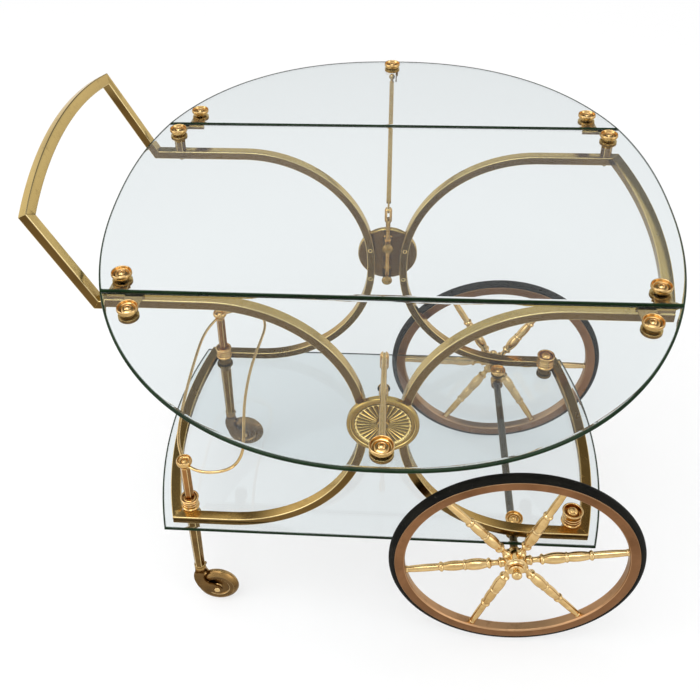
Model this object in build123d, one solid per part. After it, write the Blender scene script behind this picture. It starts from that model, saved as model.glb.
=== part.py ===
from build123d import *
import math
import os

os.makedirs("parts", exist_ok=True)

# Driving sizes, in mm. Z is up from the floor, the big wheels are at +X, Y runs across the cart.
glass = 6.0
top_half_length = 355.0
top_half_depth = 451.0
top_power = 2.23
joint_gap = 1.0
leaf_droop = 2.2
bar = 12.0
bar_wide = 15.0
side_y = 176.0
curve_r = 187.0
curve_waist = 25.0
curve_straight = 12.0
lower_left_x = -293.5
lower_right_x = 284.5
upper_right_x = 326.5
upper_bow = 21.0
lower_left_bow = 26.0
lower_right_bow = 23.5
grip_bow = 25.0
handle_inset = 13.5
handle_angle = 62.5
handle_reach = 139.5
medallion_r = 46.0
left_corner_x = -271.5
right_corner_x = 263.5
boss_r = 11.0
wheel_x = 187.0
wheel_r = 175.0
caster_r = 32.0
caster_trail = 24.5
hanger_rise = 18.5
post_rise = 19.5
disc_high = 5.0
plate = 2.0

# Fits and clearances
running = 0.05
touch_gap = 0.3
side_play = 0.2
joint_clearance = 20.5

# Derived levels and lines
half = bar / 2
bar_out = side_y + bar_wide / 2
bar_in = side_y - bar_wide / 2
joint_y = bar_out + joint_clearance
wheel_y = bar_out + joint_clearance
corner_y = bar_in - 8.0
corners = [(x, y) for x in (left_corner_x, right_corner_x) for y in (-corner_y, corner_y)]
handle_bend_x = handle_inset - top_half_length
post_x = upper_right_x - 20.0
curve_x = curve_waist + curve_r
tray_bottom = wheel_r + hanger_rise
tray_top = tray_bottom + glass
lower_z = tray_top + half
lower_top = lower_z + half
curve_low = lower_z + curve_r
curve_high = curve_low + curve_straight
curve_z = (curve_low + curve_high) / 2
upper_z = curve_high + curve_r
upper_top = upper_z + half
top_under = upper_top + post_rise + disc_high + plate
top_z = top_under + glass
medallion_z = curve_high + 8.5
big = 4000.0


def turned(start, *steps):
    """Solid of revolution about Z. Steps are (r, z) for a line, (r, z, r, z) for an arc."""
    edges = []
    here = start
    for step in steps:
        end = step[-2:]
        if len(step) == 2:
            edges.append(Line(here, end))
        else:
            edges.append(ThreePointArc(here, step[:2], end))
        here = end
    if math.dist(here, start) > 1e-6:
        edges.append(Line(here, start))
    face = make_face(Curve() + edges)
    return revolve(Plane.XZ * face, Axis.Z)


def dome(radius, level, rise):
    """Arc step that closes a profile on the axis with part of a sphere."""
    ball = (radius ** 2 + rise ** 2) / (2 * abs(rise))
    way = math.copysign(1, rise)
    turn = math.asin(radius / ball) / 2
    return (ball * math.sin(turn), level + rise - way * ball * (1 - math.cos(turn)), 0, level + rise)


def rod(radius, low, high):
    """Plain cylinder on Z between two levels."""
    return Pos(0, 0, (low + high) / 2) * Cylinder(radius, high - low)


def tube(outer, inner, low, high):
    return rod(outer, low, high) - rod(inner, low - 1, high + 1)


def hexagon(flats, low, high):
    return Pos(0, 0, low) * extrude(RegularPolygon(flats / 2, 6, major_radius=False), high - low)


def half_space(point, normal):
    """Everything on the side of a plane that its normal points to."""
    return Plane(origin=point, z_dir=normal) * Pos(0, 0, big / 2) * Box(big, big, big)


def along_y(shape):
    """Turn a shape built on Z so that its Z points to -Y, the near side."""
    return Rot(90, 0, 0) * shape


def to_far(shape):
    return mirror(shape, about=Plane.XZ)


def both_sides(shape):
    return [shape, to_far(shape)]


def cut_all(shape, tools):
    for tool in tools:
        shape = shape - tool
    return shape


def save(node, solids):
    shapes = solids if isinstance(solids, list) else [solids]
    pieces = [piece for shape in shapes for piece in shape.solids()]
    export_step(Compound(children=[Solid(piece.wrapped) for piece in pieces]), f"parts/{node}.step")


# Glass panels
def top_half_x(y):
    """Half length of the top at depth y, on a fuller-than-round closed curve."""
    return top_half_length * (1 - abs(y / top_half_depth) ** top_power) ** (1 / top_power)


def centre_glass():
    edge_y = joint_y - joint_gap / 2
    levels = [-edge_y, -edge_y / 2, 0, edge_y / 2, edge_y]
    right = Spline([(top_half_x(y), y) for y in levels])
    left = Spline([(-top_half_x(y), y) for y in reversed(levels)])
    face = make_face(Curve() + [right, Line(right @ 1, left @ 0), left, Line(left @ 1, right @ 0)])
    return Pos(0, 0, top_under) * extrude(face, glass)


def leaf_glass():
    """Near leaf, level, before it droops on to its stay."""
    start = joint_y + joint_gap / 2
    first = math.asin((start / top_half_depth) ** (top_power / 2))
    points = []
    for step in range(17):
        turn = first + (math.pi - 2 * first) * step / 16
        x = top_half_length * math.copysign(abs(math.cos(turn)) ** (2 / top_power), math.cos(turn))
        y = -top_half_depth * math.sin(turn) ** (2 / top_power)
        points.append((x, y))
    rim = Spline(points)
    face = make_face(Curve() + [rim, Line(rim @ 1, rim @ 0)])
    return Pos(0, 0, top_under) * extrude(face, glass)


def cup_knob():
    """Low drum with a rounded rim, a dished top and a small dome in the dish."""
    return turned(
        (0, 0), (10.6, 0), (10.6, 1.4), (12.0, 2.2), (12.4, 4.2, 11.2, 6.2), (10.6, 6.6, 9.9, 6.0),
        (8.6, 3.0, 5.0, 2.6), dome(5.0, 2.6, 2.6),
    )


def under_disc(bore, height):
    return turned((bore, 0), (10.8, 0), (11.8, 0.6, 12.0, 1.6), (12.0, height), (bore, height))


# Frame bars
def side_bar(end_up, end_low):
    """Right-hand C: level bars above and below, joined by two quarter curves and a short upright."""
    edges = c_line(curve_r + half, end_up, end_low)
    edges.append(Line((end_low, lower_z - half), (end_low, lower_z + half)))
    edges += c_line(curve_r - half, end_up, end_low)
    edges.append(Line((end_up, upper_z - half), (end_up, upper_z + half)))
    face = make_face(Curve() + edges)
    return Pos(0, -side_y + bar_wide / 2, 0) * along_y(extrude(face, bar_wide))


def c_line(radius, end_up, end_low):
    """One edge of the C, at a radius from the centres of its curves."""
    high = curve_high + radius
    low = curve_low - radius
    face_x = curve_x - radius
    slant = radius * math.sqrt(0.5)
    return [
        Line((end_up, high), (curve_x, high)),
        ThreePointArc((curve_x, high), (curve_x - slant, curve_high + slant), (face_x, curve_high)),
        Line((face_x, curve_high), (face_x, curve_low)),
        ThreePointArc((face_x, curve_low), (curve_x - slant, curve_low - slant), (curve_x, low)),
        Line((curve_x, low), (end_low, low)),
    ]


def bow_radius(bow):
    return (bar_out ** 2 + bow ** 2) / (2 * bow)


def bowed_bar(corner, bow, level):
    """Flat bar bent outwards from +corner, running from the near side to the far side."""
    radius = bow_radius(bow)
    ring = Cylinder(radius, bar) - Cylinder(radius - bar_wide, bar + 2)
    ring = Pos(corner + bow - radius, 0, level) * ring
    ring = ring - half_space((corner - 30, 0, level), (-1, 0, 0))
    for side in (-1, 1):
        ring = ring - half_space((corner, side * bar_out, level), mitre_normal(bow, side))
    return ring


def mitre_normal(bow, side):
    """Normal of the mitre at a bowed bar's end, pointing to the straight bar."""
    turn = math.asin(bar_out / bow_radius(bow))
    along_bow = Vector(math.sin(turn), -side * math.cos(turn), 0)
    return (Vector(-1, 0, 0) - along_bow).normalized()


def mitred(shape, corner, bow, level):
    """Cut the near end of a straight bar to meet a bowed bar at +corner."""
    return shape - half_space((corner, -bar_out, level), -mitre_normal(bow, -1))


def corner_tools():
    """Shanks and bosses that pass through the bars, used as cutters."""
    tools = [Pos(x, y, 0) * rod(boss_r, lower_z - bar, lower_z + bar) for x, y in corners]
    for x in (-post_x, post_x):
        for y in (-side_y, side_y):
            tools.append(Pos(x, y, 0) * rod(3.0, upper_z - bar, upper_z + bar))
    return tools


def right_side_bar():
    shape = side_bar(upper_right_x + 20, lower_right_x + 20)
    shape = mitred(shape, upper_right_x, upper_bow, upper_z)
    keep_upper = shape - half_space((0, 0, curve_z), (0, 0, -1))
    lower = side_bar(upper_right_x, lower_right_x + 20) - half_space((0, 0, curve_z), (0, 0, 1))
    lower = mitred(lower, lower_right_x, lower_right_bow, lower_z)
    return cut_all(keep_upper + lower, corner_tools())


def left_side_bar():
    """Built as a right-hand C, cut for its two joints, then turned over to the left."""
    lower = side_bar(upper_right_x, -lower_left_x + 20) - half_space((0, 0, curve_z), (0, 0, 1))
    lower = mitred(lower, -lower_left_x, lower_left_bow, lower_z)
    upper = side_bar(-handle_bend_x + 40, -lower_left_x) - half_space((0, 0, curve_z), (0, 0, -1))
    shape = mirror(lower + upper, about=Plane.YZ)
    shape = shape - half_space((handle_bend_x, 0, upper_z), bend_normal())
    return cut_all(shape, corner_tools())


def arm_direction():
    angle = math.radians(handle_angle)
    return Vector(-math.cos(angle), 0, math.sin(angle))


def bend_normal():
    """Normal of the mitre between a side bar and a handle arm, pointing to the arm."""
    return (arm_direction() - Vector(1, 0, 0)).normalized()


def handle_frame(shape):
    """Place a shape built flat, with +X along the arms, on the sloping handle."""
    return Pos(handle_bend_x, 0, upper_z) * Rot(0, handle_angle - 180, 0) * shape


def handle_arm():
    flat = Pos(handle_reach / 2, -side_y, 0) * Box(handle_reach + 60, bar_wide, bar)
    flat = mitred(flat, handle_reach, grip_bow, 0)
    return handle_frame(flat) - half_space((handle_bend_x, 0, upper_z), -bend_normal())


def handle_grip():
    return handle_frame(bowed_bar(handle_reach, grip_bow, 0))


def lower_cross_bar(corner, bow):
    return cut_all(bowed_bar(corner, bow, lower_z), corner_tools())


# Side medallions, built on Z with the outer face up, then turned to the near side
plate_thick = 8.0
flute_count = 32
rosette_r = 36.0


def on_near_side(shape):
    return Pos(0, -bar_out, medallion_z) * along_y(shape)


def medallion_plate():
    plate = turned(
        (0, 0), (medallion_r - 1.0, 0), (medallion_r, 1.0), (medallion_r, 5.5),
        (medallion_r - 0.8, 8.2, medallion_r - 3.4, plate_thick + 0.6),
        (medallion_r - 5.4, plate_thick), (medallion_r - 6.0, plate_thick - 1.2),
        (rosette_r + 0.6, plate_thick - 1.6), (rosette_r + 0.3, 3.0), (0, 3.0),
    )
    return on_near_side(plate)


def rosette():
    """Sunburst: a shallow saucer cut by round-bottomed flutes that widen outwards."""
    saucer = turned((8.4, 3.0), (rosette_r, 3.0), (rosette_r, 6.2), (24, 7.0, 12.0, 5.2), (8.4, 5.2))
    flute = Pos(21, 0, 7.9) * Rot(0, 90, 0) * Cone(1.0, 3.0, 29)
    slots = [Rot(0, 0, 360 * i / flute_count) * flute for i in range(flute_count)]
    return on_near_side(saucer - Compound(children=slots))


def medallion_boss():
    """Domed boss in a ring at the middle of the sunburst."""
    boss = turned(
        (0, 3.0), (8.3, 3.0), (8.3, 7.0), (8.0, 8.6, 6.8, 8.8), (5.8, 8.2, 5.6, 7.4),
        dome(5.6, 7.4, 4.0),
    )
    return on_near_side(boss)


# Stays: a rod that turns in two lugs carries a tilting prop for the leaf
lug_rise = 30.0
pivot_y = bar_in - 4.5
pivot_r = 3.5
pin_z = medallion_z + 93.0
tongue = 3.0
pin_r = 1.5
bead_r = 4.8
neck_r = 2.2
edge_stud_y = top_half_depth - 25.5
stay_end_y = edge_stud_y - 12.0
leaf_drop = (stay_end_y - joint_y) * math.tan(math.radians(leaf_droop))
stay_end_z = top_under - disc_high - leaf_drop - bead_r - 1.1
stay_reach = math.hypot(stay_end_y - pivot_y, stay_end_z - pin_z)
stay_slope = math.degrees(math.atan2(stay_end_z - pin_z, stay_end_y - pivot_y))


def stay_lug(level):
    """Turned post on the medallion's inner face, drilled upright for the pivot rod."""
    reach = bar_out - pivot_y
    lug = turned(
        (0, 0), (8.0, 0), (8.0, 2.0), (6.2, 3.2), (6.2, reach + 6.4), (5.0, reach + 7.4),
        (8.0, reach + 8.4), (8.0, reach + 10.4), dome(8.0, reach + 10.4, 2.6),
    )
    lug = Pos(0, -bar_out, level) * Rot(-90, 0, 0) * lug
    return lug - Pos(0, -pivot_y, 0) * rod(pivot_r + running, level - 20, level + 20)


def pivot_rod():
    """Upright rod that turns in the two lugs, forked at the top for the stay."""
    low = medallion_z - lug_rise - 8.5
    collar = medallion_z + lug_rise + 8.0 + side_play
    body = turned(
        (0, low - 4.0), (3.0, low - 4.0), (5.2, low - 2.6), (5.2, low), (pivot_r, low),
        (pivot_r, collar), (5.4, collar), (5.4, collar + 2.6), (pivot_r, collar + 3.4),
        (pivot_r, pin_z - 22), (5.6, pin_z - 17.5), (5.6, pin_z + 1), dome(5.6, pin_z + 1, 5.0),
    )
    slot = Pos(0, 0, pin_z - 1) * Box(tongue + 2 * side_play, 20, 28)
    pin = Pos(0, 0, pin_z) * Rot(0, 90, 0) * Cylinder(pin_r, 10.4)
    return Pos(0, -pivot_y, 0) * (body - slot + pin)


def stay():
    """Prop from the fork out to the leaf: flat eye, round arm, neck and bead."""
    eye = Rot(0, 90, 0) * Cylinder(4.2, tongue) + Pos(0, 0, 9) * Box(tongue, 7, 18)
    eye = eye - Rot(0, 90, 0) * Cylinder(pin_r + running, 20)
    neck_turn = math.asin(neck_r / bead_r)
    bead_turn = (neck_turn + math.pi) / 2
    arm = turned(
        (0, 14.5), (pivot_r, 14.5), (pivot_r, stay_reach - 11), (neck_r, stay_reach - 9),
        (neck_r, stay_reach - bead_r * math.cos(neck_turn)),
        (bead_r * math.sin(bead_turn), stay_reach - bead_r * math.cos(bead_turn), 0, stay_reach + bead_r),
    )
    prop = Rot(90 - stay_slope, 0, 0) * (eye + arm)
    return Pos(0, -pivot_y, pin_z) * prop


# Hinges: one knuckle on the centre panel's plate, the next on the leaf's
axis_z = top_under - 4.0
knuckle_r = 3.5
hinge_pin_r = 1.5
knuckle = 21.0
leaf_stud_x = post_x - knuckle - side_play
leaf_stud_y = joint_y + 34.0


def paddle(stud_y, inwards):
    """Flat hinge plate with a knuckle at the joint, rounded about its stud."""
    way = 1 if inwards else -1
    bend = -joint_y + way * touch_gap
    neck = 8.5
    outline = [
        (-knuckle / 2, bend), (-knuckle / 2, bend + way * 7), (-neck, -stud_y),
        (neck, -stud_y), (knuckle / 2, bend + way * 7), (knuckle / 2, bend),
    ]
    face = make_face(Polyline(outline + [outline[0]])) + Pos(0, -stud_y) * Circle(neck)
    flat = Pos(0, 0, top_under - plate) * extrude(face, plate)
    barrel = Pos(0, -joint_y, axis_z) * Rot(0, 90, 0) * Cylinder(knuckle_r, knuckle)
    return flat + barrel


def centre_hinge(x):
    return Pos(x, 0, 0) * (paddle(side_y, True) - hinge_bore(0))


def leaf_hinge(x):
    return Pos(x, 0, 0) * (paddle(leaf_stud_y, False) - hinge_bore(running))


def hinge_bore(clearance):
    return Pos(0, -joint_y, axis_z) * Rot(0, 90, 0) * Cylinder(hinge_pin_r + clearance, 60)


def hinge_pin(side):
    """Pin fixed in the centre knuckle and running in the leaf's."""
    length = 2 * knuckle + side_play
    middle = side * (post_x - (knuckle + side_play) / 2)
    return Pos(middle, -joint_y, axis_z) * Rot(0, 90, 0) * Cylinder(hinge_pin_r, length)


def drooped(shape):
    """Turn a level near leaf piece down about its hinge line."""
    centre = Pos(0, -joint_y, axis_z)
    return centre * Rot(leaf_droop, 0, 0) * centre.inverse() * shape


def edge_catch():
    """Bent tab under the leaf's edge disc, standing beside the stay's neck."""
    low = top_under - disc_high
    flat = Pos(7.8, -edge_stud_y + 10, low - 0.8) * Box(3.6, 18, 1.6)
    tab = Pos(6.9, -edge_stud_y + 14, low - 6) * Box(1.8, 10, 12)
    return flat + tab


def level_leaf_studs():
    return [(-leaf_stud_x, -leaf_stud_y), (leaf_stud_x, -leaf_stud_y), (0, -edge_stud_y)]


def leaf_knobs():
    return [drooped(Pos(x, y, top_z) * cup_knob()) for x, y in level_leaf_studs()]


def leaf_discs():
    discs = []
    for x, y in level_leaf_studs():
        seat = plate if abs(y) < 300 else 0
        low = top_under - seat - disc_high
        discs.append(drooped(Pos(x, y, low) * under_disc(0, disc_high)))
    return discs


# Posts that carry the centre panel on the upper bars
def centre_post():
    high = top_under - plate - disc_high
    post = hexagon(14.0, upper_top, high)
    shank = rod(3.0, upper_z - half - 1, upper_top)
    nut = turned((0, 0), (5.2, 0), dome(5.2, 0, -4.6))
    return post + shank + Pos(0, 0, upper_z - half) * nut


# Tray corners
left_cup_high = 19.0
right_cup_high = 23.0
cup_dish = 5.2
rail_z = lower_top + 83.5
rail_r = 2.2
rail_knob_low = rail_z - 3.0
over_caster = 16.0
leg_low = 2 * caster_r + over_caster
foot_high = 7.0
stem_r = 4.0
stem_rise = 20.0


def cup_side(radius, high):
    """Outside of a turned cup: foot ring, waist, banded barrel and rolled rim."""
    steps = [(radius - 0.6, 0), (radius, 1.6, radius - 0.6, 3.0), (radius - 1.6, 3.6), (radius - 1.6, 4.6)]
    for low in (5.2, 9.6):
        steps += [(radius - 0.9, low), (radius - 0.9, low + 3.2), (radius - 1.5, low + 3.6)]
    steps += [(radius - 1.0, high - 5), (radius, high - 2.4), (radius - 0.4, high, radius - 2.2, high - 0.4)]
    return steps


def left_cup():
    """Cup with a flat-bottomed dish, in which the rail's post stands."""
    radius = 12.8
    floor = left_cup_high - cup_dish
    return turned((0, 0), *cup_side(radius, left_cup_high), (radius - 4.6, floor), (0, floor))


def right_cup():
    """Taller cup with a ball seated in its dish."""
    radius = 14.0
    ball_r = 9.2
    floor = right_cup_high - 7.0
    steps = [(radius - 3.2, floor), (ball_r, floor), dome(ball_r, floor, ball_r)]
    return turned((0, 0), *cup_side(radius, right_cup_high), *steps)


def corner_boss():
    """Spacer brazed in the frame's inner corner, from the glass up to the bar tops."""
    return rod(boss_r, tray_top, lower_top)


def rail_post():
    low = lower_top + left_cup_high - cup_dish
    return hexagon(12.5, low, rail_knob_low)


def rail_knob():
    knob = turned(
        (0, 0), (7.0, 0), (8.0, 4.0, 10.6, 8.0), (11.2, 11.0, 10.2, 14.0), (9.4, 14.6, 8.8, 13.8),
        (7.4, 11.0, 4.6, 10.6), dome(4.6, 10.6, 2.4),
    )
    return Pos(0, 0, rail_knob_low) * knob


def loop_path(half_loop, middle):
    """Level curve from the near knob to the far one, through points mirrored about the cart's middle.

    Points are (distance in from the corner, share of the corner's depth)."""
    near = [(left_corner_x + inwards, -share * corner_y) for inwards, share in half_loop]
    far = [(x, -y) for x, y in reversed(near)]
    return Pos(0, 0, rail_z + 3.5) * Spline(near + [(left_corner_x + middle, 0)] + far)


def wire_loop():
    """Wire rail bent round the left end of the tray and let into both knobs."""
    outer = loop_path([(0, 1), (-14, 0.788), (-21.5, 0.43)], -23)
    inner = loop_path([
        (0, 1), (18, 1.071), (44, 1.086), (66.5, 1.022), (76.5, 0.868), (75.5, 0.677), (68, 0.277),
    ], 66.5)
    knobs = [Pos(left_corner_x, y, 0) * rail_knob() for y in (-corner_y, corner_y)]
    strands = []
    for path in (outer, inner):
        section = Plane(origin=path @ 0, z_dir=path % 0) * Circle(rail_r)
        strands.append(cut_all(sweep(section, path), knobs))
    return strands


def leg():
    """Hexagonal leg, flared under the glass and ringed at the foot, bored for its caster."""
    neck = tray_bottom - 15
    head = turned(
        (0, tray_bottom), (13.4, tray_bottom), (13.4, tray_bottom - 3),
        (11.0, tray_bottom - 7, 8.4, neck), (0, neck),
    )
    shaft = loft([
        Pos(0, 0, neck) * RegularPolygon(8.0, 6, major_radius=False),
        Pos(0, 0, leg_low) * RegularPolygon(6.9, 6, major_radius=False),
    ])
    foot = turned(
        (0, leg_low), (8.0, leg_low), (8.6, leg_low - 2, 8.0, leg_low - 4), (7.4, leg_low - 4.6),
        (8.4, leg_low - foot_high), (0, leg_low - foot_high),
    )
    shape = head + shaft + foot
    return shape - rod(stem_r + running, leg_low - foot_high - 1, leg_low + stem_rise + 0.5)


# Casters, built at the origin and carried to the left corners
fork_top = leg_low - foot_high - touch_gap
fork_gap = 17.0
fork_plate = 3.0
caster_pin_r = 2.5


def caster_fork():
    """Swan-necked fork: a crown and stem, and a curved cheek on each side of the wheel."""
    crown = turned(
        (0, fork_top - 9), (6.0, fork_top - 9), (8.4, fork_top - 6), (8.4, fork_top - 1.4), (7.6, fork_top),
        (stem_r, fork_top), (stem_r, leg_low + stem_rise), (0, leg_low + stem_rise),
    )
    hub = (caster_trail, caster_r)
    edges = [
        Line((-8, fork_top - 5), (8, fork_top - 5)),
        ThreePointArc((8, fork_top - 5), (7.5, hub[1] + 20), (15, hub[1] + 12)),
        ThreePointArc((15, hub[1] + 12), (22, hub[1] + 10), (hub[0] + 7, hub[1] + 3)),
        ThreePointArc((hub[0] + 7, hub[1] + 3), (hub[0] + 5, hub[1] - 6), (hub[0] - 3, hub[1] - 8)),
        ThreePointArc((hub[0] - 3, hub[1] - 8), (3, hub[1] - 3), (-6, hub[1] + 12)),
        ThreePointArc((-6, hub[1] + 12), (-8.5, hub[1] + 23), (-8, fork_top - 5)),
    ]
    face = make_face(Curve() + edges)
    cheek = Pos(0, fork_plate / 2, 0) * along_y(extrude(face, fork_plate))
    offset = (fork_gap + fork_plate) / 2
    bridge = Pos(0, 0, fork_top - 5) * Box(14, fork_gap + 2 * fork_plate, 4)
    shape = crown + bridge
    for side in (-1, 1):
        shape = shape + Pos(0, side * offset, 0) * cheek
    return shape - Pos(hub[0], 0, hub[1]) * along_y(rod(caster_pin_r, -30, 30))


def caster_pin():
    length = fork_gap / 2 + fork_plate
    shape = turned(
        (0, -length - 2.2), (4.2, -length - 1.6), (4.6, -length), (caster_pin_r, -length),
        (caster_pin_r, length), (4.6, length), (4.2, length + 1.6), (0, length + 2.2),
    )
    return Pos(caster_trail, 0, caster_r) * along_y(shape)


def caster_wheel():
    """Brass wheel with a rounded tread, a ring groove in each face and a raised hub."""
    bore = caster_pin_r + running
    half_width = 7.5
    side = [
        (bore, -half_width), (7.0, -half_width), (7.6, -half_width + 1.6), (17.0, -half_width + 2.4),
        (18.4, -half_width + 0.6), (caster_r - 7.0, -half_width + 0.4),
    ]
    shoulder = caster_r - 2.2
    steps = side[1:] + [(shoulder, -4.2, caster_r, 0), (shoulder, 4.2, caster_r - 7.0, half_width - 0.4)]
    steps = steps + [(r, -z) for r, z in reversed(side[:-1])]
    return Pos(caster_trail, 0, caster_r) * along_y(turned(side[0], *steps))


def at_corner(shape, y):
    return Pos(left_corner_x, y, 0) * shape


# Axle and its hangers
axle_r = 5.5
hanger_y = bar_in - 15.5
collar_wide = 3.0
hub_in = 15.0
hub_r = 15.0


def axle():
    length = wheel_y + 9
    shape = turned(
        (0, -length), (axle_r - 1, -length), (axle_r, -length + 1),
        (axle_r, length - 1), (axle_r - 1, length), (0, length),
    )
    return Pos(wheel_x, 0, wheel_r) * along_y(shape)


def axle_hanger():
    """Split sleeve round the axle with a shank up to the underside of the tray."""
    sleeve = along_y(tube(9.5, axle_r, -8, 8))
    flare = hanger_rise - 4
    shank = rod(6.0, 7.5, hanger_rise)
    shank = shank + turned((0, flare), (9.0, flare), (11.0, hanger_rise), (0, hanger_rise))
    return Pos(wheel_x, -hanger_y, wheel_r) * (sleeve + (shank - along_y(rod(axle_r, -12, 12))))


def axle_collar():
    collar = turned((axle_r, 0), (8.5, 0), (9.0, 1.5, 8.5, collar_wide), (axle_r, collar_wide))
    start = wheel_y - hub_in - collar_wide - touch_gap
    return Pos(wheel_x, -start, wheel_r) * along_y(collar)


# Big wheels, built on Z at the origin with the outer face up
rim_in = wheel_r - 22.5
rim_out = wheel_r - 8.2
rim_half = 7.5
tyre_seat = wheel_r - 12.0
spoke_start = 10.0
spoke_drawn = 142.5


def hub():
    bore = axle_r + running
    return turned(
        (bore, -hub_in), (10.0, -hub_in), (10.0, -12.0), (12.0, -10.0), (hub_r, -8.6),
        (hub_r + 1.2, 0, hub_r, 8.6), (12.4, 10.0), (11.2, 12.4), (12.0, 14.0), (bore, 14.0),
    )


def hub_cap():
    """Turned nose that covers the axle end."""
    return turned(
        (0, 14.2), (9.0, 14.2), (9.8, 16.0, 8.4, 17.6), (5.0, 18.8), (5.0, 20.4), (7.2, 23.8, 4.0, 28.0),
        dome(4.0, 28.0, 1.4),
    )


def rim():
    return turned(
        (rim_in, -rim_half + 2.0), (rim_in + 1.4, -rim_half), (rim_out, -rim_half), (rim_out, -5.6),
        (tyre_seat, -5.0), (tyre_seat, 5.0), (rim_out, 5.6), (rim_out, rim_half),
        (rim_in + 1.4, rim_half), (rim_in, rim_half - 2.0),
    )


def tyre():
    return turned(
        (tyre_seat, -5.0), (rim_out, -5.6), (rim_out + 0.6, -7.2), (wheel_r - 2.6, -5.8, wheel_r, 0),
        (wheel_r - 2.6, 5.8, rim_out + 0.6, 7.2), (rim_out, 5.6), (tyre_seat, 5.0),
    )


def to_rim(step):
    """Move a profile step, drawn for a spoke of the drawn length, along the spoke that reaches the rim."""
    share = (rim_in - spoke_start) / spoke_drawn
    return tuple(spoke_start + (value - spoke_start) * share if i % 2 else value for i, value in enumerate(step))


def spoke():
    """Baluster turned on X: collar, neck, rings, two swelling barrels and a long taper."""
    turnings = [
        (6.4, spoke_start), (6.4, 19.0), (7.0, 20.5, 6.4, 22.0), (4.2, 23.4),
        (3.8, 28.0, 4.6, 33.0), (6.9, 34.6), (7.4, 36.2, 6.9, 37.8), (5.6, 39.4),
        (8.0, 53.0, 6.6, 67.4), (7.3, 68.8), (7.3, 70.6), (6.2, 71.8), (6.2, 73.0),
        (6.9, 87.0, 5.2, 99.6), (6.6, 101.2), (7.0, 102.8, 6.6, 104.4), (4.9, 106.0),
    ]
    shape = turned(
        (0, spoke_start), *map(to_rim, turnings),
        (5.2, rim_in - 24.5, 4.4, rim_in - 3.5), (5.0, rim_in - 2.3), (5.0, rim_in + 1.5), (0, rim_in + 1.5),
    )
    return Rot(0, 90, 0) * shape


def spokes(first):
    inner = rod(hub_r + 1.2, -12, 12)
    ring = tube(wheel_r, rim_in, -12, 12)
    one = spoke() - (hub() + inner) - ring
    return [Rot(0, 0, first + 60 * i) * one for i in range(6)]


def on_wheel(shape, side):
    """Stand a wheel part on the near axle end, or on the far one."""
    placed = Pos(wheel_x, -wheel_y, wheel_r) * along_y(shape)
    return placed if side == "near" else to_far(placed)


def frame_parts():
    save("side_bars_left", both_sides(left_side_bar()))
    save("side_bars_right", both_sides(right_side_bar()))
    save("handle_arms", both_sides(handle_arm()))
    save("handle_grip", handle_grip())
    save("upper_cross_bar", bowed_bar(upper_right_x, upper_bow, upper_z))
    save("lower_cross_bar_right", lower_cross_bar(lower_right_x, lower_right_bow))
    left = bowed_bar(-lower_left_x, lower_left_bow, lower_z)
    save("lower_cross_bar_left", cut_all(mirror(left, about=Plane.YZ), corner_tools()))
    save("medallion_plates", both_sides(medallion_plate()))
    save("rosettes", both_sides(rosette()))
    save("medallion_bosses", both_sides(medallion_boss()))
    lugs = [stay_lug(medallion_z + rise) for rise in (-lug_rise, lug_rise)]
    save("stay_lugs", lugs + [to_far(lug) for lug in lugs])


def top_parts():
    save("centre_glass", centre_glass())
    spots = [(x, y) for x in (-post_x, post_x) for y in (-side_y, side_y)]
    save("centre_knobs", [Pos(x, y, top_z) * cup_knob() for x, y in spots])
    low = top_under - plate - disc_high
    save("centre_discs", [Pos(x, y, low) * under_disc(0, disc_high) for x, y in spots])
    save("centre_posts", [Pos(x, y, 0) * centre_post() for x, y in spots])
    hinges = [centre_hinge(-post_x), centre_hinge(post_x)]
    save("centre_hinge_plates", hinges + [to_far(hinge) for hinge in hinges])
    pins = [hinge_pin(-1), hinge_pin(1)]
    save("hinge_pins", pins + [to_far(pin) for pin in pins])


def leaf_parts():
    hinges = [drooped(leaf_hinge(x)) for x in (-leaf_stud_x, leaf_stud_x)]
    near = {
        "leaf_glass": [drooped(leaf_glass())],
        "leaf_knobs": leaf_knobs(),
        "leaf_discs": leaf_discs(),
        "leaf_hinge_plates": hinges,
        "leaf_catch": [drooped(edge_catch())],
        "pivot_rod": [pivot_rod()],
        "stay": [stay()],
    }
    for name, shapes in near.items():
        save(f"near_{name}", shapes)
        save(f"far_{name}", [to_far(shape) for shape in shapes])


def tray_outline():
    half_depth = bar_out + 9.5
    left = lower_left_x - 11.5
    right = lower_right_x + 10.0
    left_bow = lower_left_bow + 2.5
    right_bow = lower_right_bow + 4.0
    edges = [
        Line((left, -half_depth), (right, -half_depth)),
        ThreePointArc((right, -half_depth), (right + right_bow, 0), (right, half_depth)),
        Line((right, half_depth), (left, half_depth)),
        ThreePointArc((left, half_depth), (left - left_bow, 0), (left, -half_depth)),
    ]
    return make_face(Curve() + edges)


def tray_parts():
    save("tray_glass", Pos(0, 0, tray_bottom) * extrude(tray_outline(), glass))
    save("corner_bosses", [Pos(x, y, 0) * corner_boss() for x, y in corners])
    left = [(x, y) for x, y in corners if x < 0]
    right = [(x, y) for x, y in corners if x > 0]
    save("left_cups", [Pos(x, y, lower_top) * left_cup() for x, y in left])
    save("right_cups", [Pos(x, y, lower_top) * right_cup() for x, y in right])
    save("tray_discs", [Pos(x, y, tray_bottom - disc_high) * under_disc(0, disc_high) for x, y in right])
    save("rail_posts", [Pos(x, y, 0) * rail_post() for x, y in left])
    save("rail_knobs", [Pos(x, y, 0) * rail_knob() for x, y in left])
    save("bottle_rail", wire_loop())
    save("legs", [at_corner(leg(), y) for y in (-corner_y, corner_y)])


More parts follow.
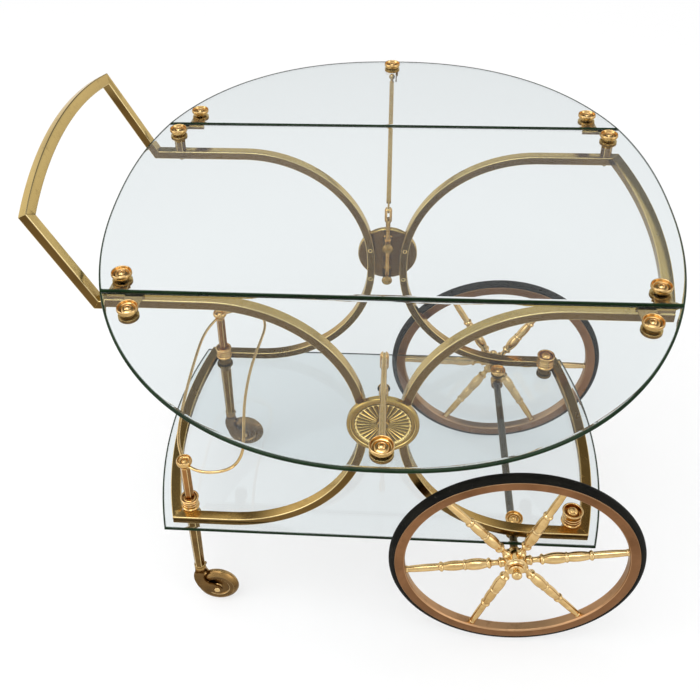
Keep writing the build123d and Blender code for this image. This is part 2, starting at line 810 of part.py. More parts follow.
def running_gear():
    save("axle", axle())
    save("axle_hangers", both_sides(axle_hanger()))
    knob = Pos(wheel_x, -hanger_y, tray_top) * cup_knob()
    save("hanger_knobs", both_sides(knob))
    save("axle_collars", both_sides(axle_collar()))
    for side, first in (("near", 11.0), ("far", 0.0)):
        save(f"{side}_wheel_hub", on_wheel(hub(), side))
        save(f"{side}_wheel_cap", on_wheel(hub_cap(), side))
        save(f"{side}_wheel_rim", on_wheel(rim(), side))
        save(f"{side}_wheel_tyre", on_wheel(tyre(), side))
        save(f"{side}_wheel_spokes", [on_wheel(one, side) for one in spokes(first)])
        y = -corner_y if side == "near" else corner_y
        save(f"{side}_caster_fork", at_corner(caster_fork(), y))
        save(f"{side}_caster_pin", at_corner(caster_pin(), y))
        save(f"{side}_caster_wheel", at_corner(caster_wheel(), y))


frame_parts()
top_parts()
leaf_parts()
tray_parts()
running_gear()
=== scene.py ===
import bmesh
import bpy
import math
import numpy as np
from mathutils import Matrix, Vector


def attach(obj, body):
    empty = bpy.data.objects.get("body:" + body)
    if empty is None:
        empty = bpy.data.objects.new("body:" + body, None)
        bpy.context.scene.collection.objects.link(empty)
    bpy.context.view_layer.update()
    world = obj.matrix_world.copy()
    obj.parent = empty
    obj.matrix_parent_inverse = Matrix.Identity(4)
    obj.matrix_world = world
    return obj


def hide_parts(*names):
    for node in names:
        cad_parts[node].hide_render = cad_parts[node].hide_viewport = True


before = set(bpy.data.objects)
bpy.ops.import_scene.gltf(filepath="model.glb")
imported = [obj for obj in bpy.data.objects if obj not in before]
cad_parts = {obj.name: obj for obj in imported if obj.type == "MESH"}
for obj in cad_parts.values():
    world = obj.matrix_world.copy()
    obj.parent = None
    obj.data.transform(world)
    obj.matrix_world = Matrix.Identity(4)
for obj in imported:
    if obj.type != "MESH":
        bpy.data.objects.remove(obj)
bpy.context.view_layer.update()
print("frame loaded")

# Shared sizes of the cart, in millimetres; meshes are scaled to metres when they are made
cart = {
    "barThick": 12.0, "barWide": 15.0, "sideY": 176.0, "curveR": 187.0, "curveX": 212.0,
    "lowerZ": 205.5, "curveLow": 392.5, "curveHigh": 404.5, "upperZ": 591.5,
    "lowerLeftX": -293.5, "lowerRightX": 284.5, "upperRightX": 326.5,
    "jointY": 204.0, "hingeZ": 620.0, "topUnder": 624.0, "glass": 6.0, "droop": 2.2,
    "postX": 306.5, "leftCornerX": -271.5, "rightCornerX": 263.5, "cornerY": 160.5,
    "medallionZ": 413.0, "medallionR": 46.0, "wheelX": 187.0, "wheelY": 204.0, "wheelR": 175.0,
    "trayUnder": 193.5, "trayTop": 199.5, "casterR": 32.0, "casterTrail": 24.5,
}
barOut = cart["sideY"] + cart["barWide"] / 2
barIn = cart["sideY"] - cart["barWide"] / 2
barHalf = cart["barThick"] / 2
upperTop, lowerTop = cart["upperZ"] + barHalf, cart["lowerZ"] + barHalf
millimetre = 0.001


# A shell is a set of points with its faces and, for each point, a colour value: above 0 a worn edge with a
# painted highlight, below 0 painted shade in a hollow
class Shell:
    def __init__(self, points, faces, wear=None):
        self.points = np.asarray(points, float)
        self.faces = faces
        self.wear = np.zeros(len(self.points)) if wear is None else np.asarray(wear, float)

    def moved(self, matrix):
        m = np.array(matrix, float)
        points = self.points @ m[:3, :3].T + m[:3, 3]
        faces = self.faces
        if np.linalg.det(m[:3, :3]) < 0:
            faces = [tuple(reversed(face)) for face in faces]
        return Shell(points, faces, self.wear)


def joined(shells):
    start = np.cumsum([0] + [len(s.points) for s in shells])
    faces = [tuple(i + first for i in face) for s, first in zip(shells, start) for face in s.faces]
    return Shell(np.vstack([s.points for s in shells]), faces, np.concatenate([s.wear for s in shells]))


def at(x, y, z):
    return Matrix.Translation((x, y, z))


def turn(degrees, axis):
    return Matrix.Rotation(math.radians(degrees), 4, axis)


mirrorX, mirrorY = Matrix.Diagonal((-1, 1, 1, 1)), Matrix.Diagonal((1, -1, 1, 1))
sides = (("near", Matrix.Identity(4)), ("far", mirrorY))
facingNear = turn(90, "X")  # a shape built on Z points to the near side


def bothSides(shell):
    return joined([shell, shell.moved(mirrorY)])


def atSpots(shell, spots, z=0.0):
    return joined([shell.moved(at(x, y, z)) for x, y in spots])


def ringPoints(radius, angle):
    return np.stack([radius * np.cos(angle), radius * np.sin(angle)], -1)


def fullTurn(count):
    return np.linspace(0, 2 * math.pi, count, endpoint=False)


# Quads between neighbouring rows of a grid whose columns run right round, and whose rows do too if closed
def gridQuads(rows, around, closed=False):
    row, column = np.meshgrid(np.arange(rows if closed else rows - 1), np.arange(around), indexing="ij")
    below, above, beside = row * around, (row + 1) % rows * around, (column + 1) % around
    return np.stack([below + column, below + beside, above + beside, above + column], -1).reshape(-1, 4)


# The two faces that close a grid of rows at its first and last row
def endFaces(rows, around):
    return tuple(range(around))[::-1], tuple(range((rows - 1) * around, rows * around))


# Points of a profile: (r, z) is a line, (r, z, r, z) is an arc through the first pair
def profilePoints(start, *steps):
    points = [np.array(start, float)]
    for step in steps:
        end = np.array(step[-2:], float)
        if len(step) == 4:
            points += list(arcPoints(points[-1], np.array(step[:2], float), end))
        else:
            points.append(end)
    return np.array(points)


# Circle through three points: its centre is where the chords' perpendicular bisectors meet
def arcPoints(a, b, c, count=9):
    rows = np.array([b - a, c - b])
    centre = np.linalg.solve(rows, np.array([(b @ b - a @ a) / 2, (c @ c - b @ b) / 2]))
    turns = [math.atan2(*(p - centre)[::-1]) for p in (a, b, c)]
    middle = (turns[1] - turns[0] + math.pi) % (2 * math.pi) - math.pi
    last = (turns[2] - turns[1] + math.pi) % (2 * math.pi) - math.pi
    angle = turns[0] + np.linspace(0, middle + last, count)[1:]
    radius = np.linalg.norm(a - centre)
    return centre + ringPoints(radius, angle)


# Arc from (radius, level) to the axis, as the profile step of a dome of the given rise
def dome(radius, level, rise):
    ball = (radius ** 2 + rise ** 2) / (2 * abs(rise))
    way = math.copysign(1, rise)
    half = math.asin(min(1.0, radius / ball)) / 2
    return (ball * math.sin(half), level + rise - way * ball * (1 - math.cos(half)), 0, level + rise)


straightBend, fullBend = math.radians(16), math.radians(50)  # less stays sharp; more gets the full worn edge and painted highlight, or the full painted shade


# Each corner is replaced by a short curve; the colour value rises to +1 on an outward corner, a worn edge
# with a painted highlight, and falls to -1 in a hollow one, painted shade, and is 0 where the curve meets the
# flats
def softened(points, radius, closed=False, steps=4):
    count = len(points)
    made, wear = [], []
    for i in range(count):
        here = points[i]
        if not closed and i in (0, count - 1):
            made.append(here)
            wear.append(0.0)
            continue
        before, after = points[i - 1], points[(i + 1) % count]
        d1, d2 = here - before, after - here
        l1, l2 = np.linalg.norm(d1), np.linalg.norm(d2)
        if min(l1, l2) < 1e-9:
            continue
        d1, d2 = d1 / l1, d2 / l2
        bend = math.atan2(d1[0] * d2[1] - d1[1] * d2[0], d1 @ d2)
        if abs(bend) < straightBend:
            made.append(here)
            wear.append(0.0)
            continue
        reach = min(radius, 0.42 * l1, 0.42 * l2)
        share = np.linspace(0, 1, steps + 1)[:, None]
        curve = (1 - share) ** 2 * (here - d1 * reach) + 2 * share * (1 - share) * here
        made += list(curve + share ** 2 * (here + d2 * reach))
        wear += list(max(-1.0, min(1.0, bend / fullBend)) * np.sin(math.pi * share[:, 0]))
    return np.array(made), np.array(wear)


# Surface of revolution about Z: (r cos a, r sin a, z) over the profile and a full turn
# A closed ring profile makes a bored piece; otherwise a row on the axis closes to a single point
def turnedShell(start, *steps, soft=0.3, segments=48, ring=False):
    points, wear = softened(profilePoints(start, *steps), soft, ring)
    angle = fullTurn(segments)
    r, z = points[:, :1], points[:, 1:]
    flat = np.stack([r * np.cos(angle), r * np.sin(angle), z + 0 * angle], -1).reshape(-1, 3)
    count = len(points)
    keep = np.arange(len(flat))
    for i in () if ring else (0, count - 1):
        if points[i, 0] < 1e-6:
            keep[i * segments:(i + 1) * segments] = i * segments
    used, place = np.unique(keep, return_inverse=True)
    corners = place[gridQuads(count, segments, ring)].tolist()
    faces = [face for face in (tuple(dict.fromkeys(quad)) for quad in corners) if len(face) > 2]
    return Shell(flat[used], faces, np.repeat(wear, segments)[used])


# Closed outline with rounded corners, as (side, up) pairs and the colour value at each: worn edge with
# painted highlight, or painted shade
def roundedOutline(corners, radius, steps=5):
    return softened(np.array(corners, float), radius, True, steps)


def boxOutline(wide, thick, radius=1.5):
    w, t = wide / 2, thick / 2
    return roundedOutline([(-w, -t), (w, -t), (w, t), (-w, t)], radius)


def hexOutline(flats, radius=0.8):
    return roundedOutline(ringPoints(flats / math.sqrt(3), np.radians(np.arange(6) * 60.0)), radius)


def roundOutline(radius, count):
    return ringPoints(radius, fullTurn(count)), np.zeros(count)


# Outline carried along a path: path point + side * outline x + up * outline y, with up = along x side.
# Ends are cut on the planes given, with a fine chamfer there that shows as the joint's seam, coloured as a
# worn edge with a painted highlight.
def sweptShell(path, side, outline, cuts=(None, None), scale=None, seam=0.45):
    outline, wear = outline
    path = np.array(path, float)
    along = np.gradient(path, axis=0)
    along[0], along[-1] = path[1] - path[0], path[-1] - path[-2]
    along /= np.linalg.norm(along, axis=1)[:, None]
    side = np.broadcast_to(np.array(side, float), path.shape)
    side = side - (side * along).sum(1)[:, None] * along
    side = side / np.linalg.norm(side, axis=1)[:, None]
    up = np.cross(along, side)
    size = np.ones(len(path)) if scale is None else np.array(scale, float)
    grid = (path[:, None] + side[:, None] * (outline[:, 0] * size[:, None])[..., None]
            + up[:, None] * (outline[:, 1] * size[:, None])[..., None])
    rows = list(grid)
    for end, cut in ((0, cuts[0]), (-1, cuts[1])):
        t = along[end]
        n = t if cut is None else np.array(cut, float)
        face = grid[end] + t * (((path[end] - grid[end]) @ n) / (t @ n))[:, None]
        outward = face - path[end]
        tucked = face - outward / np.linalg.norm(outward, axis=1)[:, None] * seam
        rows[end] = face + (t if end == 0 else -t) * seam
        rows.insert(0 if end == 0 else len(rows), tucked)
    worn = np.tile(wear, (len(rows), 1))
    # The end chamfers take part of the worn-edge colour, a painted highlight along the seam
    worn[0], worn[-1] = 0.6, 0.6
    return closedGrid(np.array(rows), worn)


# Signed volume tells whether a closed shell is inside out; if so, every face is turned round
def fixedFacing(shell):
    volume = 0.0
    for size in {len(face) for face in shell.faces}:
        group = np.array([face for face in shell.faces if len(face) == size])
        p = shell.points[group]
        for k in range(1, size - 1):
            volume += np.einsum("ij,ij->i", p[:, 0], np.cross(p[:, k], p[:, k + 1])).sum()
    if volume < 0:
        return Shell(shell.points, [tuple(reversed(face)) for face in shell.faces], shell.wear)
    return shell


# Rows of points that run round, closed by a face at each end
def closedGrid(grid, wear):
    rows, around = grid.shape[:2]
    quads = gridQuads(rows, around)[:, (1, 2, 3, 0)].tolist()
    faces = [tuple(quad) for quad in quads] + list(endFaces(rows, around))
    return fixedFacing(Shell(grid.reshape(-1, 3), faces, wear.ravel()))


seat = 0.08  # glass stands this far clear of the metal it rests on, so that both surfaces show


# Flat panel from a closed outline with pencil-round edges: loops at inset * (1 - cos t) and half height
# times sin t, with t over a half turn, and a face that closes each side
def panelShell(outline, low, high, inset=4.4, loops=13):
    outline = np.array(outline, float)
    if outline[:, 0] @ np.roll(outline[:, 1], -1) < outline[:, 1] @ np.roll(outline[:, 0], -1):
        outline = outline[::-1]  # runs anticlockwise, so that the normals point outwards
    middle, halfHigh = (low + high) / 2, (high - low) / 2 - seat
    ahead = np.roll(outline, -1, 0) - outline
    ahead /= np.linalg.norm(ahead, axis=1)[:, None]
    behind = np.roll(ahead, 1, 0)
    normal = np.stack([ahead[:, 1] + behind[:, 1], -ahead[:, 0] - behind[:, 0]], -1)
    normal /= (1 + (ahead * behind).sum(1))[:, None]
    t = np.linspace(-math.pi / 2, math.pi / 2, loops)[:, None, None]
    ring = outline - normal * inset * (1 - np.cos(t))
    level = np.broadcast_to(middle + halfHigh * np.sin(t), (loops, len(outline), 1))
    points = np.concatenate([ring, level], -1)
    quads = gridQuads(loops, len(outline)).tolist()
    faces = [tuple(quad) for quad in quads] + list(endFaces(loops, len(outline)))
    return fixedFacing(Shell(points.reshape(-1, 3), faces))


# Cubic through the points, with matched slope and bend at each, measured by chord length
def smoothPath(points, count):
    points = np.array(points, float)
    t = np.concatenate([[0], np.cumsum(np.linalg.norm(np.diff(points, axis=0), axis=1))])
    h, n = np.diff(t), len(points)
    a, b = np.eye(n), np.zeros((n, points.shape[1]))
    for i in range(1, n - 1):
        a[i, i - 1:i + 2] = h[i - 1], 2 * (h[i - 1] + h[i]), h[i]
        b[i] = 6 * ((points[i + 1] - points[i]) / h[i] - (points[i] - points[i - 1]) / h[i - 1])
    bend = np.linalg.solve(a, b)
    s = np.linspace(0, t[-1], count)
    k = np.clip(np.searchsorted(t, s, "right") - 1, 0, n - 2)
    u, v, w = (t[k + 1] - s)[:, None], (s - t[k])[:, None], h[k][:, None]
    return (bend[k] * u ** 3 / (6 * w) + bend[k + 1] * v ** 3 / (6 * w)
            + (points[k] / w - bend[k] * w / 6) * u + (points[k + 1] / w - bend[k + 1] * w / 6) * v)


mostRounded = 8  # corners of the biggest face that is shaded as part of a curve


# Every edge of a face with more corners than that is made sharp, so that big flat faces stay flat
def keepFlat(mesh):
    corners = np.zeros(len(mesh.polygons), np.int32)
    edgeOf = np.zeros(len(mesh.loops), np.int32)
    sharp = np.zeros(len(mesh.edges), bool)
    mesh.polygons.foreach_get("loop_total", corners)
    mesh.loops.foreach_get("edge_index", edgeOf)
    mesh.edges.foreach_get("use_edge_sharp", sharp)
    sharp[edgeOf[np.repeat(corners > mostRounded, corners)]] = True
    mesh.edges.foreach_set("use_edge_sharp", sharp)


def newObject(name, mesh):
    made = bpy.data.objects.new(name, mesh)
    bpy.context.scene.collection.objects.link(made)
    return made


def makePiece(name, shell, material, node=None, body="frame", smooth=38):
    mesh = bpy.data.meshes.new(name)
    mesh.from_pydata((shell.points * millimetre).tolist(), [], shell.faces)
    wear = mesh.attributes.new("wear", "FLOAT", "POINT")
    wear.data.foreach_set("value", shell.wear.astype(np.float32))
    mesh.materials.append(material)
    mesh.shade_smooth()
    mesh.set_sharp_from_angle(angle=math.radians(smooth))
    keepFlat(mesh)
    mesh.update()
    piece = newObject(name, mesh)
    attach(piece, body)
    if node:
        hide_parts(node)
    return piece


brokenEdge = {"sharp": math.radians(32), "flat": math.radians(1.0), "merge": 1e-6, "segments": 2}


# A merged copy of a CAD node with its edges broken by a fine bevel
def brokenEdgeCopy(name, node, material, width, body="frame"):
    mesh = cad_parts[node].data.copy()
    mesh.name = name
    piece = newObject(name, mesh)
    work = bmesh.new()
    work.from_mesh(mesh)
    bmesh.ops.remove_doubles(work, verts=work.verts, dist=brokenEdge["merge"])
    bmesh.ops.dissolve_limit(work, angle_limit=brokenEdge["flat"], verts=work.verts, edges=work.edges)
    work.to_mesh(mesh)
    work.free()
    mesh.materials.clear()
    mesh.materials.append(material)
    mesh.attributes.new("wear", "FLOAT", "POINT")
    mesh.shade_smooth()
    mesh.set_sharp_from_angle(angle=brokenEdge["sharp"])
    bevel = piece.modifiers.new("brokenEdges", "BEVEL")
    bevel.width = width * millimetre
    bevel.segments = brokenEdge["segments"]
    bevel.limit_method = "ANGLE"
    bevel.angle_limit = brokenEdge["sharp"]
    bevel.harden_normals = True
    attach(piece, body)
    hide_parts(node)


# Shader expressions: arithmetic on sockets adds Math nodes
class Value:
    def __init__(self, sheet, socket):
        self.sheet, self.socket = sheet, socket

    def __add__(self, other): return self.sheet.maths("ADD", self, other)
    def __radd__(self, other): return self.sheet.maths("ADD", other, self)
    def __sub__(self, other): return self.sheet.maths("SUBTRACT", self, other)
    def __rsub__(self, other): return self.sheet.maths("SUBTRACT", other, self)
    def __mul__(self, other): return self.sheet.maths("MULTIPLY", self, other)
    def __rmul__(self, other): return self.sheet.maths("MULTIPLY", other, self)
    def __abs__(self): return self.sheet.maths("ABSOLUTE", self)


# The nodes of a material or a world
class Sheet:
    def __init__(self, owner, output="ShaderNodeOutputMaterial"):
        owner.use_nodes = True
        self.owner, self.tree = owner, owner.node_tree
        self.tree.nodes.clear()
        self.out = self.tree.nodes.new(output)

    # Any node: its type, its settings, its inputs by name or place, and which output is wanted
    def node(self, kind, settings=None, inputs=None, output=0):
        made = self.tree.nodes.new(kind)
        for key, value in (settings or {}).items():
            setattr(made, key, value)
        for key, value in (inputs or {}).items():
            target = made.inputs[key]
            if isinstance(value, Value):
                self.tree.links.new(value.socket, target)
            else:
                target.default_value = (*value, 1) if target.type == "RGBA" else value
        return Value(self, made.outputs[output])

    def maths(self, operation, *values):
        return self.node("ShaderNodeMath", {"operation": operation}, dict(enumerate(values)))

    def place(self, output="Object"):
        return self.node("ShaderNodeTexCoord", output=output)

    def part(self, vector, axis):
        return self.node("ShaderNodeSeparateXYZ", {}, {0: vector}, axis)

    def ray(self, kind):
        return self.node("ShaderNodeLightPath", output=f"Is {kind} Ray")

    def attribute(self, name):
        return self.node("ShaderNodeAttribute", {"attribute_name": name}, output="Fac")

    def noise(self, scale, detail=4.0, rough=0.55, vector=None, distortion=0.0):
        return self.node("ShaderNodeTexNoise", {}, {
            "Vector": vector or self.place(), "Scale": scale, "Detail": detail, "Roughness": rough,
            "Distortion": distortion}, output="Fac")

    def stretched(self, scale):
        return self.node("ShaderNodeMapping", {}, {"Vector": self.place(), "Scale": scale})

    def ramp(self, value, low, high, start=0.0, end=1.0):
        return self.node("ShaderNodeMapRange", {"clamp": True}, {
            "Value": value, "From Min": low, "From Max": high, "To Min": start, "To Max": end})

    # Sockets 0, 6, 7 and 2 of a Mix node are its factor, its two colours and the colour it gives
    def mix(self, share, first, second):
        return self.node("ShaderNodeMix", {"data_type": "RGBA"}, {0: share, 6: first, 7: second}, 2)

    def mixShaders(self, share, first, second):
        return self.node("ShaderNodeMixShader", {}, {0: share, 1: first, 2: second})

    def principled(self, inputs):
        return self.node("ShaderNodeBsdfPrincipled", {}, inputs)

    def bump(self, height, distance, strength=1.0):
        return self.node("ShaderNodeBump", {}, {"Height": height, "Distance": distance, "Strength": strength})

    def surface(self, shader):
        self.tree.links.new(shader.socket, self.out.inputs["Surface"])
        return self.owner


# Brass and copper: a clouded base tone, with painted light brightening what faces up, worn edges paler with a
# painted highlight, and painted shade darkening hollows
def metalFinish(name, look, **changes):
    look = {**look, **changes}
    s = Sheet(bpy.data.materials.new(name))
    wear = s.attribute("wear")
    # Worn edges with a painted highlight where the value is above 0, painted shade in hollows where it is
    # below
    edge = s.ramp(wear, 0.1, 0.9)
    hollow = s.ramp(wear, -0.1, -0.9)
    cloud = s.ramp(s.noise(look["cloudScale"], 5.0, 0.6, distortion=0.6), 0.32, 0.68)
    spots = s.ramp(s.noise(look["spotScale"], 3.0, 0.7), 0.56, 0.72)
    # Painted light: faces turned up take the lighter top colour, warmer lower on the cart as a painted
    # reflection, and varied in random patches
    tops = s.ramp(s.part(s.place("Normal"), "Z"), 0.05, 0.5)
    tone = s.mix(cloud, look["dark"], look["base"])
    patches = s.ramp(s.noise(look["cloudScale"] * 0.35, 3.0, 0.5, distortion=0.4), 0.42, 0.62)
    low = s.ramp(s.part(s.place(), "Z"), 0.5, 0.22)  # what lies lower on the cart is warmer
    upper = s.mix(patches * 0.45 + low * 0.5, look["top"], look["warm"])
    tone = s.mix(tops * look["topShare"], tone, upper)
    tone = s.mix(spots * look["spotShare"], tone, look["spot"])
    tone = s.mix(edge * look["edgeShare"], tone, look["edge"])
    tone = s.mix(hollow * look["hollowShare"], tone, look["hollow"])
    brush = s.noise(look["brushScale"], 3.0, 0.6, vector=s.stretched(look["brushWay"]))
    rough = look["rough"] + (1 - cloud) * look["roughCloud"] + spots * 0.1
    rough = rough + (brush - 0.5) * look["roughBrush"]
    normal = s.bump(brush * 0.6 + s.noise(look["cloudScale"] * 6) * 0.4, look["bump"], 0.6)
    return s.surface(s.principled({
        "Base Color": tone, "Metallic": 1.0, "Roughness": rough, "Normal": normal,
        "Specular Tint": glint}))


glint = (1.0, 0.93, 0.8)
# In each look, top and warm are painted light on faces turned up, edge is a worn edge with a painted
# highlight, and the hollow colour is painted shade
barLook = {
    "base": (0.16, 0.092, 0.026), "dark": (0.1, 0.056, 0.015), "top": (0.62, 0.46, 0.175),
    "warm": (0.45, 0.245, 0.06), "spot": (0.1, 0.058, 0.022), "edge": (0.8, 0.64, 0.33),
    "hollow": (0.05, 0.03, 0.012), "topShare": 0.92, "spotShare": 0.22,
    "edgeShare": 0.8, "hollowShare": 0.6, "cloudScale": 9.0, "spotScale": 60.0, "brushScale": 220.0,
    "brushWay": (0.15, 0.15, 0.15), "rough": 0.15, "roughCloud": 0.1, "roughBrush": 0.1, "bump": 0.00012,
}
knobLook = {
    "base": (0.62, 0.4, 0.15), "dark": (0.42, 0.235, 0.07), "top": (0.84, 0.56, 0.25),
    "warm": (0.72, 0.46, 0.18), "spot": (0.34, 0.19, 0.07), "edge": (0.99, 0.84, 0.56),
    "hollow": (0.16, 0.08, 0.025), "topShare": 0.6, "spotShare": 0.25,
    "edgeShare": 0.6, "hollowShare": 0.85, "cloudScale": 60.0, "spotScale": 260.0, "brushScale": 500.0,
    "brushWay": (1, 1, 1), "rough": 0.09, "roughCloud": 0.06, "roughBrush": 0.04, "bump": 0.00005,
}
barBrass = metalFinish("barBrass", barLook)
knobGold = metalFinish("knobGold", knobLook)
spokeGold = metalFinish(
    "spokeGold", knobLook, base=(0.7, 0.49, 0.22), dark=(0.5, 0.31, 0.11), top=(0.86, 0.68, 0.38),
    warm=(0.74, 0.5, 0.22), topShare=0.5, rough=0.1)
stayGold = metalFinish(
    "stayGold", knobLook, base=(0.38, 0.235, 0.065), dark=(0.25, 0.145, 0.038), top=(0.74, 0.54, 0.24),
    warm=(0.52, 0.32, 0.1), topShare=0.5, rough=0.1)
medallionGold = metalFinish(
    "medallionGold", knobLook, base=(0.29, 0.165, 0.028), dark=(0.19, 0.105, 0.016), top=(0.58, 0.39, 0.1),
    warm=(0.46, 0.28, 0.06), edge=(0.99, 0.8, 0.36), edgeShare=0.9, hollow=(0.055, 0.028, 0.006),
    hollowShare=0.9, rough=0.1)
plateBack = metalFinish(
    "plateBack", barLook, base=(0.155, 0.084, 0.029), dark=(0.115, 0.061, 0.021), cloudScale=26.0)
postBronze = metalFinish(
    "postBronze", barLook, base=(0.19, 0.108, 0.032), dark=(0.1, 0.056, 0.017), top=(0.5, 0.36, 0.155),
    cloudScale=30.0)
railBronze = metalFinish(
    "railBronze", barLook, base=(0.36, 0.165, 0.05), dark=(0.24, 0.105, 0.03), top=(0.62, 0.36, 0.14),
    cloudScale=30.0)
rimCopper = metalFinish(
    "rimCopper", barLook, base=(0.25, 0.118, 0.052), dark=(0.165, 0.074, 0.031), top=(0.54, 0.34, 0.19),
    warm=(0.46, 0.26, 0.13), edge=(0.56, 0.34, 0.18), spot=(0.07, 0.03, 0.013), cloudScale=14.0, rough=0.28)
casterBronze = metalFinish(
    "casterBronze", barLook, base=(0.165, 0.09, 0.028), dark=(0.09, 0.046, 0.014), top=(0.4, 0.26, 0.1),
    warm=(0.28, 0.15, 0.05), edge=(0.8, 0.6, 0.32), cloudScale=40.0, rough=0.2)
axleBronze = metalFinish(
    "axleBronze", barLook, base=(0.05, 0.038, 0.02), dark=(0.03, 0.023, 0.012), top=(0.09, 0.072, 0.04),
    warm=(0.07, 0.05, 0.025), edge=(0.4, 0.33, 0.2), rough=0.28)

rubberLook = {"base": (0.004, 0.004, 0.003), "dust": (0.026, 0.023, 0.017), "scuff": (0.1, 0.09, 0.08),
              "rough": 0.55, "gloss": 0.06, "dustScale": 18.0, "scuffScale": 90.0, "grainScale": 700.0}


# Black rubber with dust in clouds and small pale scuffs
def rubberFinish():
    s = Sheet(bpy.data.materials.new("tyreRubber"))
    dust = s.ramp(s.noise(rubberLook["dustScale"], 6.0, 0.65), 0.42, 0.72)
    scuff = s.ramp(s.noise(rubberLook["scuffScale"], 4.0, 0.75, distortion=1.2), 0.63, 0.72)
    tone = s.mix(dust * 0.5, rubberLook["base"], rubberLook["dust"])
    tone = s.mix(scuff * 0.6, tone, rubberLook["scuff"])
    grain = s.noise(rubberLook["grainScale"], 2.0)
    normal = s.bump(grain * 0.3 + scuff * -0.7, 0.00015, 0.5)
    rough = rubberLook["rough"] + dust * 0.22 + scuff * 0.15
    return s.surface(s.principled({
        "Base Color": tone, "Roughness": rough, "Normal": normal, "Specular IOR Level": rubberLook["gloss"]}))


glassLook = {"tint": (0.865, 0.905, 0.915), "edge": (0.006, 0.017, 0.006), "streak": (0.017, 0.041, 0.015),
             "line": (0.26, 0.34, 0.27), "lineShare": 0.45, "ior": 1.5, "gloss": 0.04, "edgeRough": 0.14}


# Clear glass: the flat faces let light through with a faint cool tint, and the rounded edges, which face
# sideways, are a deep green with a painted highlight, a pale line, where they meet the upper face
def glassFinish():
    s = Sheet(bpy.data.materials.new("clearGlass"))
    up = s.part(s.place("Normal"), "Z")
    edge = s.ramp(abs(up), 0.985, 0.93)
    smear = s.ramp(s.noise(7.0, 5.0, 0.6, distortion=1.5), 0.5, 0.8)
    body = s.principled({"Base Color": glassLook["tint"], "Roughness": smear * 0.012, "IOR": glassLook["ior"],
                         "Transmission Weight": 1.0})
    streak = s.ramp(s.noise(30.0, 3.0, 0.6), 0.35, 0.7)
    # Painted highlight: a pale line along the rounded edge next to the upper face
    line = s.ramp(up, 0.945, 0.965) * s.ramp(up, 0.985, 0.975)
    edgeTone = s.mix(streak * 0.5, glassLook["edge"], glassLook["streak"])
    edgeTone = s.mix(line * glassLook["lineShare"], edgeTone, glassLook["line"])
    ground = s.principled({"Base Color": edgeTone, "Roughness": glassLook["edgeRough"],
                           "IOR": glassLook["ior"], "Specular IOR Level": glassLook["gloss"]})
    return s.surface(s.mixShaders(edge * 0.97, body, ground))


tyreRubber = rubberFinish()
clearGlass = glassFinish()
print("finishes ready")

# Side bars, cross bars and the handle
handle = {"bendX": -341.5, "angle": 62.5, "reach": 139.5, "bow": 25.0}
bows = {"upper": 21.0, "lowerLeft": 26.0, "lowerRight": 23.5}
flatBar = boxOutline(cart["barThick"], cart["barWide"])
sideOutline = boxOutline(cart["barWide"], cart["barThick"])


# A bar bent to a circle whose chord is the cart's width and whose rise is the bow
def bowPath(corner, bow, count=33):
    radius = (barOut ** 2 + bow ** 2) / (2 * bow)
    half = math.asin(barOut / radius)
    middle = radius - cart["barWide"] / 2
    angle = np.linspace(-half, half, count)
    x = corner + bow - radius + middle * np.cos(angle)
    return np.column_stack([x, middle * np.sin(angle), np.zeros(count)]), half


def mitreNormal(half, side):
    along = np.array([math.sin(half), -side * math.cos(half), 0])
    normal = np.array([-1.0, 0, 0]) - along
    return normal / np.linalg.norm(normal)


# Each end of the bar's line slides along the bar on to the mitre plane through the corner
def bowedBar(corner, bow):
    path, half = bowPath(corner, bow)
    cuts = [mitreNormal(half, side) for side in (-1, 1)]
    for end, t, side, n in ((0, path[1] - path[0], -1, cuts[0]), (-1, path[-1] - path[-2], 1, cuts[1])):
        point = np.array([corner, side * barOut, 0])
        path[end] = path[end] + t * (((point - path[end]) @ n) / (t @ n))
    return sweptShell(path, (0, 0, 1), flatBar, cuts)


# Centre line of a C: the upper run, two quarter turns with a straight between them, and the lower run
def cPath(endUp, endLow):
    r, x, up, down = cart["curveR"], cart["curveX"], cart["upperZ"], cart["lowerZ"]
    angle = np.linspace(math.pi / 2, math.pi, 25)
    top = np.column_stack([x + r * np.cos(angle), cart["curveHigh"] + r * np.sin(angle)])
    low = np.column_stack([x + r * np.cos(angle[::-1]), cart["curveLow"] - r * np.sin(angle[::-1])])
    flat = np.vstack([[[endUp, up], [x + 0.7 * (endUp - x), up]], top,
                      low, [[x + 0.7 * (endLow - x), down], [endLow, down]]])
    return np.column_stack([flat[:, 0], np.full(len(flat), -cart["sideY"]), flat[:, 1]])


# Plane between a side bar and a handle arm, for a C that opens to the right
slope = math.radians(handle["angle"])
bendNormal = np.array([1 + math.cos(slope), 0, math.sin(slope)])


# Where a straight bar's centre line meets the mitre through a corner, and that mitre's normal
def cornerCut(corner, bow):
    cut = mitreNormal(bowPath(corner, bow)[1], -1)
    return corner + cut[1] / cut[0] * (-barOut + cart["sideY"]), cut


def sideBar(upper, lower):
    (endUp, upCut), (endLow, lowCut) = upper, lower
    return sweptShell(cPath(endUp, endLow), (0, 1, 0), sideOutline, (upCut, lowCut))


# The handle is drawn flat with +X along its arms, then sloped up from the bend
def onHandle(shell):
    placed = at(handle["bendX"], 0, cart["upperZ"]) @ turn(handle["angle"] - 180, "Y")
    return shell.moved(placed)


def handleParts():
    grip = bowedBar(handle["reach"], handle["bow"])
    end, cut = cornerCut(handle["reach"], handle["bow"])
    bend = bendNormal / np.linalg.norm(bendNormal)
    tilt = np.array(turn(-(handle["angle"] - 180), "Y"))[:3, :3]
    flatBend = tilt @ np.array([-bend[0], 0, bend[2]])
    path = np.array([[share * end, -cart["sideY"], 0] for share in (0, 0.3, 0.7, 1)])
    arm = sweptShell(path, (0, 1, 0), sideOutline, (flatBend, cut))
    return onHandle(grip), onHandle(bothSides(arm))


